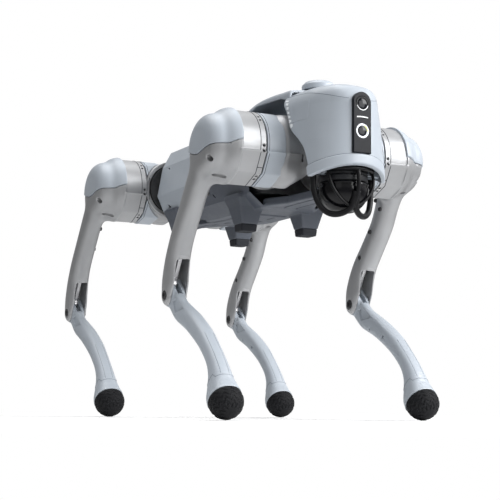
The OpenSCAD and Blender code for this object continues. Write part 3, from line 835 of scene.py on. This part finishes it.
# the head: crown heights along x, rear edge (z, x), and where the lens and the lamp sit on the nose
CROWN = smooth_rows([(200, 79), (230, 78.5), (262, 77), (284, 74.5), (300, 71), (312, 65), (320, 56), (326, 42)], 6)
REAR_EDGE = smooth_rows([(-56, 288), (-44, 286), (-25, 282), (-8, 275), (5, 263), (16, 248), (28, 237), (45, 226),
                         (60, 216), (80, 207)], 4)
LENS_Z, LAMP_Z, NOSE_X = 42.5, 8.6, 323.0


def rear_edge(z):
    return np.interp(z, REAR_EDGE[:, 0], REAR_EDGE[:, 1])


def under_edge(x):
    return np.interp(x, [278, 290, 305, 322.6], [-48, -44.5, -38.5, -31])


def lip_level(x):
    return np.interp(x, [272, 300, 322], [-38.5, -28, -20])


def head_outer(x, y, z):
    """The head without its cavity: crowned on top, a little narrower towards the top."""
    narrow = np.interp(z, [-50, -27, 0, 24, 45, 65, 76], [0, 0.02, 0.06, 0.12, 0.20, 0.25, 0.27])
    narrow = narrow * np.clip((x - 232) / 72, 0, 1)
    flare = 5.0 * np.clip((258 - x) / 44, 0, 1) * np.clip((z - 5) / 50, 0, 1)
    across = (np.abs(y) - flare) / (1 - narrow)
    front = union(disc(x, across, 60, 262, 0), both(slab(x, 190, 283), across - 50), 3)
    crown = np.interp(x, CROWN[:, 0], CROWN[:, 1]) - 15.0 * (np.abs(y) / 50) ** 2.4
    block = both(both(front, (z - crown) * 0.93, 13), -48.5 - z)
    block = both(block, (rear_edge(z) - x) * 0.84, 2.5)
    return both(block, (under_edge(x) - z) * 0.93, 1.6)


def head_field(x, y, z):
    step = 1.2 / (1 + np.exp(np.clip((z - lip_level(x)) * 3, -30, 30)))
    outer = head_outer(x, y, z) - step
    inner, under = outer + HEAD_WALL, under_edge(x)
    mouth = both(both(head_outer(x, y, z + 20) + 3.4, z - under - 6), 258 - x)
    strip = union(both(slab(y, -13.2, 13.2), slab(z, -19.5, 46)), disc(y, z, 13.2, 0, 44.8))
    return carve(outer, [
        (inner, 0.5), (mouth, 0.5), (both(both(inner + 0.2, z - under - 8), 262 - x), 0.5),
        (both(strip, 320.2 - x), 0.5), (brick(x, y, z, (190, -22, 38), (262, 22, 60), 1), 0.4)])


def camera_strip_field(x, y, z):
    outline = union(both(slab(y, -12.7, 12.7), slab(z, -19, 44.8)), disc(y, z, 12.7, 0, 44.8))
    seats = [(both(disc(y, z, r, 0, level), NOSE_X - x), 0.3) for level, r in ((LENS_Z, 9.2), (LAMP_Z, 8.9))]
    return carve(prism(outline, slab(x, 318, 324), 0.7), seats)


SCANNER_X = 278


def scanner_field(x, y, z):
    body = both(ball(x, y, z, (SCANNER_X, 0, -57), 32.5), slab(z, -87.5, -50.5), 3)
    belt = both(slab(z, -57.6, -54.6), 31.2 - np.hypot(x - SCANNER_X, y))
    shaft = prism(disc(x, y, 6, SCANNER_X, 0), slab(z, -60, -38), 0.4)
    return union(cut(body, belt, 0.5), shaft)


def scanner_base_field(x, y, z):
    body = prism(disc(x, y, 31, SCANNER_X, 0), slab(z, -50, -24), 1.5)
    plate = both(both(head_outer(x, y, z) + 3.6, slab(z, -24, -20), 0.5), slab(x, 252.2, 330))
    cuts = [(both(np.abs(z - level) - 0.8, 29.8 - np.hypot(x - SCANNER_X, y)), 0.4)
            for level in (-31, -36.5, -42)]
    cuts.append((prism(disc(x, y, 6.1, SCANNER_X, 0), slab(z, -60, -34), 0.3), 0.3))
    return both(carve(union(body, plate, 1), cuts), 252.2 - x, 0.5)


# ---------- build ----------

# grid steps
FINE, COARSE = 1.6, 2.2
SIDES = ((-1, "right"), (1, "left"))


def add_trunk(name, shape, slot_name, replaces=(), sharp=None, body="trunk", place=np.eye(4)):
    """A piece of the trunk, or of a body on it."""
    add_piece(name, shape, LEVEL @ place, body, slot_name, replaces, sharp)


def build_legs():
    pieces = [
        # part, piece, field, box corners, step, slot, replaced node
        ("thigh", "thigh_casting", thigh_field, (-56, 38, -238), (56, 118, 54), FINE, "cast_alloy", "thigh_frame"),
        ("thigh", "shoulder_cover", cap_field, (-56, 70, -40), (56, 120, 56), FINE, "shell_plastic", "shoulder_cap"),
        ("hip", "hip_casting", dome_field, (-50, -48, -54), (54, 44, 54), FINE, "cast_alloy", "hip_housing"),
        ("hip", "hip_ring", ring_field, (-54, 10, -54), (54, 43, 54), FINE, "shell_plastic", "hip_cover"),
        ("calf", "shin", calf_field, (-22, -24, -208), (38, 24, 26), FINE, "shell_plastic", "calf"),
        ("calf", "sole", foot_field, (-22, -26, -238), (30, 26, -202), FINE * 0.8, "foot_rubber", "foot"),
    ]
    for part, piece, field, low, high, step, slot_name, node in pieces:
        shape = field_mesh(field, low, high, step)
        for leg, front, left in LEGS:
            add_piece(f"{leg}_{piece}", shape, leg_place(front, left, part), f"{leg}_{part}", slot_name,
                      [f"{leg}_{node}"])
    rod = field_mesh(rod_field, (-10, -5, -THIGH_LEN - 10), (10, 5, 10), 0.9)
    angle = CRANK_ANGLE + TILT - LEAN
    crank_pin = shift(-CRANK_R * math.cos(angle), LEG_Y, CRANK_R * math.sin(angle))
    for leg, front, left in LEGS:
        thigh_place = leg_place(front, left, "thigh")
        add_piece(f"{leg}_link", rod, thigh_place @ crank_pin, f"{leg}_rod", "machined_steel", [f"{leg}_push_rod"])
        build_knee_pin(leg, thigh_place)
        build_leg_screws(leg, thigh_place, leg_place(front, left, "hip"))


def build_knee_pin(leg, place):
    """A shaft with the same low head on both ends."""
    head = [(6.1, -0.6), (6.1, 0.3), (5.8, 1.0), (5.0, 1.4), (3.0, 1.3), (2.6, 0.2), (0.01, 0.2)]
    outer = [(5, -2 * PIN_OUT), (5, -0.7)] + head
    inner = [(r, -h) for r, h in head[::-1]] + [(5, 0.7)]
    shapes = []
    for rows, out in ((outer, PIN_OUT), (inner, -PIN_OUT)):
        points, faces = turned(rows, 48)
        spot = shift(0, LEG_Y + out, -THIGH_LEN) @ aim((0, 0, 0), (0, 1, 0))
        shapes.append((moved(points, spot), faces))
    add_piece(f"{leg}_knee_pin", joined(shapes), place, f"{leg}_thigh", "dark_steel", [f"{leg}_knee_axle"], sharp=40)


def screw(r, depth=1.0, sides=32):
    """A socket screw: rounded rim, six-sided socket."""
    rows = [(r, -depth), (r, -0.3 * r), (0.88 * r, 0), (0.56 * r, 0)]
    points, faces = turned(rows, sides)
    points, faces = list(map(tuple, points)), faces[:-2]
    base = len(points)
    for h in (0, -0.6 * r):
        for i in range(sides):
            a = 2 * math.pi * i / sides
            sector = (a + math.pi / 6) % (math.pi / 3) - math.pi / 6
            reach = 0.46 * r / math.cos(sector)
            points.append((reach * math.cos(a), reach * math.sin(a), h))
    for row_a, row_b in ((base - sides, base), (base, base + sides)):
        for i in range(sides):
            j = (i + 1) % sides
            faces.append((row_a + i, row_a + j, row_b + j, row_b + i))
    faces.append(tuple(range(base + sides, base + 2 * sides)))
    return np.array(points), faces


def build_leg_screws(leg, thigh_place, hip_place):
    thigh_spots = [(screw(3.6, 2.5), aim((COVER_SCREW[0], 101.5, COVER_SCREW[1]), (0, 1, 0)))]
    thigh_spots += [(screw(3.1, 2.5), aim((x, 82.8, z), (0, -1, 0))) for x, z in INNER_SCREWS]
    for angle in BAND_SCREWS:
        ux, uz = math.cos(math.radians(angle)), math.sin(math.radians(angle))
        for aside in (-3.2, 3.2):
            spot = (BAND_Y * ux - aside * uz, BAND_Y, BAND_Y * uz + aside * ux)
            thigh_spots.append((screw(1.45, 2), aim(spot, (ux, 0, uz))))
    hip_spots = [(screw(2.0, 2), aim((27, y, z), (1, 0, 0))) for y, z in DOME_SCREWS]
    for part, place, spots in (("thigh", thigh_place, thigh_spots), ("hip", hip_place, hip_spots)):
        shape = joined([(moved(points, move), faces) for (points, faces), move in spots])
        add_piece(f"{leg}_{part}_screws", shape, place, f"{leg}_{part}", "dark_steel", sharp=35)


def build_trunk():
    pieces = [
        ("back_shell", top_field, (-208, -80, -58), (226, 80, 88), COARSE, "shell_plastic", "top_shell"),
        ("belly_pan", belly_field, (-206, -80, -88), (268, 80, -6), COARSE, "belly_plastic", "belly_shell"),
        ("standing_pads", pads_field, (-118, -62, -98), (118, 62, -72), FINE, "pad_rubber", "belly_pads"),
        ("head_cover", head_field, (208, -64, -60), (326, 64, 80), FINE, "shell_plastic", "head_shell"),
        ("camera_strip", camera_strip_field, (316, -16, -23), (326, 16, 61), 0.8, "gloss_black", "camera_panel"),
        ("scanner_base", scanner_base_field, (248, -52, -53), (326, 52, -17), FINE, "sensor_black", "lidar_housing"),
    ]
    for piece, field, low, high, step, slot_name, node in pieces:
        add_trunk(piece, field_mesh(field, low, high, step), slot_name, [node])
    battery = field_mesh(battery_field, (-73, -43, -43), (73, 78, 33), COARSE)
    add_trunk("battery", battery, "battery_case", ["battery_pack"], body="battery")
    scanner = field_mesh(scanner_field, (243, -35, -93), (313, 35, -36), FINE)
    add_trunk("scanner_dome", scanner, "sensor_gloss", ["lidar_rotor"], body="lidar_rotor")
    cap = [(22, 0), (22, 5.5), (21.6, 6.6), (20.6, 7.3), (18.2, 10.2), (17, 10.8), (15.5, 11), (0.01, 11.1)]
    add_trunk("top_cap", turned(cap, 96), "shell_plastic", ["antenna_cap"], 30, place=shift(217, 0, 81))
    button = [(7, -4), (7, 1.6), (6.4, 2.3), (5.6, 2.5), (4.4, 2.2), (0.01, 2.0)]
    add_trunk("battery_button", turned(button, 64), "button_plastic", ["power_button"], 35, "power_button",
              aim((BUTTON_X, 70, BUTTON_Z), (0, 1, 0)))


def build_face():
    """Lens, lamp, their glints and the plain bar between them."""
    rim = [(9.0, 0), (9.0, 1.2), (8.4, 1.6), (7.6, 1.5), (6.6, 0.4), (0.01, 0.3)]
    bowl = [(6.6, 0.3), (6.2, 0.9), (5.0, 1.25), (3.0, 1.5), (0.01, 1.6)]
    for name, level, slot_name, node in (("camera", LENS_Z, "sensor_black", "camera_lens"),
                                         ("lamp", LAMP_Z, "lamp_lens", "head_lamp")):
        place = aim((NOSE_X, 0, level), (1, 0, 0))
        add_trunk(f"{name}_rim", turned(rim, 72), slot_name, [node], 30, place=place)
        add_trunk(f"{name}_glass", turned(bowl, 72), "lens_glass", (), 30, place=place)
    bar_z, bar_r, bar_turn = 26, 60, 7.5
    # painted highlight: a white arc on the camera lens
    arc_strip("lens_glint", LENS_Z, 7.9, 0.9, 200, 345, "mark_white", 1.62)
    # painted reflection: a glowing yellow-green arc across the lamp
    arc_strip("lamp_colour", LAMP_Z, 7.2, 1.0, 0, 65, "lamp_glint", 1.66)
    arc_strip("nose_bar", bar_z - bar_r, bar_r, 1.3, 90 - bar_turn, 90 + bar_turn, "mark_white", 1.35)


def arc_strip(name, level, r, width, start, end, slot_name, out):
    """A flat curved strip in front of the nose, facing forward."""
    steps, points, faces = 40, [], []
    for i in range(steps + 1):
        a = math.radians(start + (end - start) * i / steps)
        for reach in (r - width / 2, r + width / 2):
            for h in (out - 0.5, out):
                points.append((NOSE_X + h, reach * math.cos(a), level + reach * math.sin(a)))
    for i in range(steps):
        b, c = 4 * i, 4 * i + 4
        for p, q in ((0, 1), (1, 3), (3, 2), (2, 0)):
            faces.append((b + p, b + q, c + q, c + p))
    faces += [(0, 2, 3, 1), (4 * steps, 4 * steps + 1, 4 * steps + 3, 4 * steps + 2)]
    add_trunk(name, (np.array(points), faces), slot_name, (), 30)


def build_guard():
    """Two thick tubes that hang from the scanner's base and cup it, with thin ribs in front."""
    loop = [(275, 41.5, -33), (275.5, 41.5, -48), (277, 41, -62), (280, 38, -75), (284, 33, -85), (289, 25, -91),
            (294, 16, -91.5), (299, 8, -88), (303, 3.2, -82), (307, 2.2, -74), (311, 1.5, -64)]
    rib = [(292, 32, -33), (298, 32, -46), (301, 28, -60), (302, 18, -73), (302, 6, -81), (302, 1, -83)]
    for side, name in SIDES:
        for piece, rows, radius, nodes in (("guard", loop, 3.8, ["lidar_guard"]), ("guard_rib", rib, 1.9, [])):
            spots = [(x, side * y, z) for x, y, z in smooth_rows(rows, 5)]
            tube(f"{piece}_{name}", spots, radius, "trunk", "guard_black", nodes)
    bar = smooth_rows([(303, 0, -83), (310, 0, -72), (314.5, 0, -60), (315.5, 0, -46), (312, 0, -31)], 6)
    tube("guard_bar", [tuple(row) for row in bar], 2.8, "trunk", "guard_black")
    turns = np.radians(np.linspace(-128, 128, 90))
    rim = [(SCANNER_X + 37 * math.cos(t), 37 * math.sin(t), -36.5) for t in turns]
    tube("guard_rim", rim, 2.4, "trunk", "guard_black")


def build_marks():
    """Seven slanted marks down the rear of each side of the head, and a faint raised panel in front of them."""
    for side, name in SIDES:
        marks = []
        for t in np.arange(7) / 6:
            z = 61 - 37 * t
            near = float(rear_edge(z)) + 5.0
            far = near + 9.5 * (1 - 0.45 * abs(t - 0.3) ** 1.1)
            corners = [(near, side * 52, z + 2.7), (far, side * 52, z + 0.3),
                       (far, side * 52, z - 2.7), (near, side * 52, z - 0.4)]
            marks.append(patch(head_outer, corners, 0.22, 0.5, 6, 3))
        add_trunk(f"head_marks_{name}", joined(marks), "mark_white", (), 30)
        corners = [(244, side * 50, 52), (278, side * 46, 52), (278, side * 47, 26), (250, side * 50, 26)]
        panel = patch(head_outer, corners, 0.35, 0.8, 20, 16)
        add_trunk(f"head_panel_{name}", panel, "shell_plastic", (), 30)


def ring_around(turn, y, r):
    """A closed line round the ten-sided drum, at one distance out along the leg."""
    def side(x, _, z):
        return drum(x, z, DRUM_R, turn)
    angles = np.linspace(0, 2 * math.pi, 160, endpoint=False)
    spots = np.stack([r * np.cos(angles), np.full(len(angles), y), r * np.sin(angles)], 1)
    return land_along(side, spots, 1, -0.05)


def build_seams():
    """Fine dark lines where castings and covers meet: painted shade of their narrow gaps and slots."""
    a = math.radians(-9)
    slit = [(46.9 * math.cos(a), y, 46.9 * math.sin(a)) for y in np.linspace(42.4, 49.2, 8)]
    thigh_lines = [cord(ring_around(0, 49.5, 47), 0.5), cord(ring_around(0, 41.6, 46.6), 0.35),
                   cord(slit, 0.85, False)]
    ring_lines = [cord(ring_around(LEAN, 37.3, 47), 0.4)]
    turn = np.linspace(0, 2 * math.pi, 120, endpoint=False)
    level = -181 - 5.5 * np.clip((np.cos(turn) - 0.55) / 0.08, 0, 1)
    ankle = np.stack([13 + 16 * np.cos(turn), 16 * np.sin(turn), level], 1)
    calf_lines = [cord(land_along(shin_skin, ankle, 2, -0.02), 0.32)]
    rows = smooth_rows(CALF, 4)
    path = rows[(rows[:, 1] < -112) & (rows[:, 1] > -184)]
    for side in (-1, 1):
        spots = [(row[0] + row[2] * 0.9, side * 5.6, row[1]) for row in path]
        calf_lines.append(cord(land_along(shin_skin, spots, 1, -0.02), 0.24, False))
    for leg, front, left in LEGS:
        for part, name, lines, slot_name in (("thigh", "thigh_seams", thigh_lines, "seam"),
                                             ("hip", "ring_seam", ring_lines, "seam"),
                                             ("calf", "shin_seams", calf_lines, "seam_pale")):
            add_piece(f"{leg}_{name}", joined(lines), leg_place(front, left, part), f"{leg}_{part}", slot_name)
    head_lines = []
    for side in (-1, 1):
        line = [(x, side * 54, float(np.interp(x, [217, 262], [67, 62]))) for x in np.linspace(219, 262, 24)]
        line += [(262 + 58 * math.sin(t), side * 58 * math.cos(t), 62 - 14 * math.sin(t) ** 2)
                 for t in np.linspace(0.1, 1.30, 30)]
        head_lines.append(cord(land_along(head_outer, line, 2, -0.02), 0.3, False))
        lip = [(262 + 60 * math.sin(t), side * 60 * math.cos(t)) for t in np.linspace(0.15, math.pi / 2, 40)]
        lip = [(x, y, float(lip_level(x)) + 0.6) for x, y in lip]
        head_lines.append(cord(land_along(head_outer, lip, 2, 0.1), 0.45, False))
    add_trunk("head_seams", joined(head_lines), "seam_pale")


def keep_cad_nodes():
    """Gives the CAD nodes that stay visible a finish and softened edges."""
    kept = {"chassis_frame": "chassis_alloy", "hip_motors": "motor_can", "main_board": "circuit_board"}
    for leg, _, _ in LEGS:
        kept[f"{leg}_thigh_motor"] = kept[f"{leg}_knee_motor"] = "motor_can"
        kept[f"{leg}_knee_crank"] = "machined_steel"
    for node, slot_name in kept.items():
        made = frame["nodes"][node]
        made.data.materials.clear()
        made.data.materials.append(FINISHES[slot_name])
        soften = made.modifiers.new("soften", "BEVEL")
        soften.width, soften.segments, soften.limit_method = 0.0006, 2, "ANGLE"
        soften.angle_limit = math.radians(35)
        soften.harden_normals = True


# ---------- stage ----------


def build_stage():
    """A pale floor that fades to plain white away from the robot, a white sky and four soft lights."""
    reach = 30
    ground = bpy.data.meshes.new("ground")
    ground.from_pydata([(-reach, -reach, 0), (reach, -reach, 0), (reach, reach, 0), (-reach, reach, 0)], [],
                       [(0, 1, 2, 3)])
    floor = linked("ground", ground)
    floor.data.materials.append(floor_paper())
    build_sky()
    for name, spot, size, power in (("key", (1.3, 1.3, 1.3), 1.1, 42), ("front", (2.0, 0.8, 0.7), 1.1, 20),
                                    ("top", (-0.2, -0.3, 2.2), 1.6, 26), ("fill", (1.5, -1.9, 0.9), 1.6, 4)):
        add_light(name, spot, size, power)
    bpy.context.scene.view_settings.view_transform = "Standard"


def floor_paper():
    paper = bpy.data.materials.new("paper")
    paper.use_nodes = True
    nodes, links = paper.node_tree.nodes, paper.node_tree.links
    surface = nodes["Principled BSDF"]
    surface.inputs["Base Color"].default_value = (0.86, 0.86, 0.86, 1)
    surface.inputs["Roughness"].default_value = 0.7
    place, away, glow, blend, seen = [nodes.new(kind) for kind in (
        "ShaderNodeTexCoord", "ShaderNodeVectorMath", "ShaderNodeEmission", "ShaderNodeMixShader",
        "ShaderNodeLightPath")]
    away.operation = "LENGTH"
    links.new(place.outputs["Object"], away.inputs[0])
    links.new(map_range(nodes, links, away.outputs["Value"], 0.35, 1.1, 0, 1), blend.inputs[0])
    links.new(map_range(nodes, links, seen.outputs["Is Camera Ray"], 0, 1, 0.25, 1.0), glow.inputs[1])
    links.new(surface.outputs[0], blend.inputs[1])
    links.new(glow.outputs[0], blend.inputs[2])
    links.new(blend.outputs[0], nodes["Material Output"].inputs[0])
    return paper


def build_sky():
    """White where the camera sees it; for light, bright from above and from the robot's left, dim from below."""
    world = bpy.data.worlds.new("studio")
    bpy.context.scene.world = world
    world.use_nodes = True
    nodes, links = world.node_tree.nodes, world.node_tree.links
    sky = nodes["Background"]
    sky.inputs[0].default_value = (1, 1, 1, 1)
    way, lean, pick, seen = [nodes.new(kind) for kind in (
        "ShaderNodeTexCoord", "ShaderNodeVectorMath", "ShaderNodeMix", "ShaderNodeLightPath")]
    lean.operation = "DOT_PRODUCT"
    lean.inputs[1].default_value = Vector((0.25, 0.45, 0.85)).normalized()
    links.new(way.outputs["Generated"], lean.inputs[0])
    links.new(seen.outputs["Is Camera Ray"], pick.inputs[0])
    links.new(map_range(nodes, links, lean.outputs["Value"], -0.6, 0.9, 0.10, 0.80), pick.inputs[2])
    pick.inputs[3].default_value = 1.0
    links.new(pick.outputs[0], sky.inputs[1])


def add_light(name, spot, size, power):
    lamp = bpy.data.lights.new(name, "AREA")
    lamp.size, lamp.energy = size, power
    made = linked(name, lamp)
    made.location = spot
    made.rotation_euler = (Vector((0, 0, 0.25)) - Vector(spot)).to_track_quat("-Z", "Y").to_euler()


def build_camera():
    lens = bpy.data.cameras.new("camera")
    lens.lens, lens.sensor_width = 93.9, 36
    lens.clip_start, lens.clip_end = 0.05, 100
    made = linked("camera", lens)
    made.location = (1.656, -0.834, HIP_Z / 1000 - 0.327)
    right, up = Vector((0.456, 0.890, 0.008)).normalized(), Vector((0.102, -0.062, 0.993))
    back = right.cross(up).normalized()
    up = back.cross(right)
    made.rotation_mode = "QUATERNION"
    rows = [[right[i], up[i], back[i], made.location[i]] for i in range(3)]
    made.matrix_world = Matrix(rows + [[0, 0, 0, 1]])
    bpy.context.scene.camera = made


build_legs()
build_trunk()
build_face()
build_guard()
build_marks()
build_seams()
keep_cad_nodes()
build_stage()
build_camera()


def corners(box):
    return [[float(c) for c in corner] for corner in box]
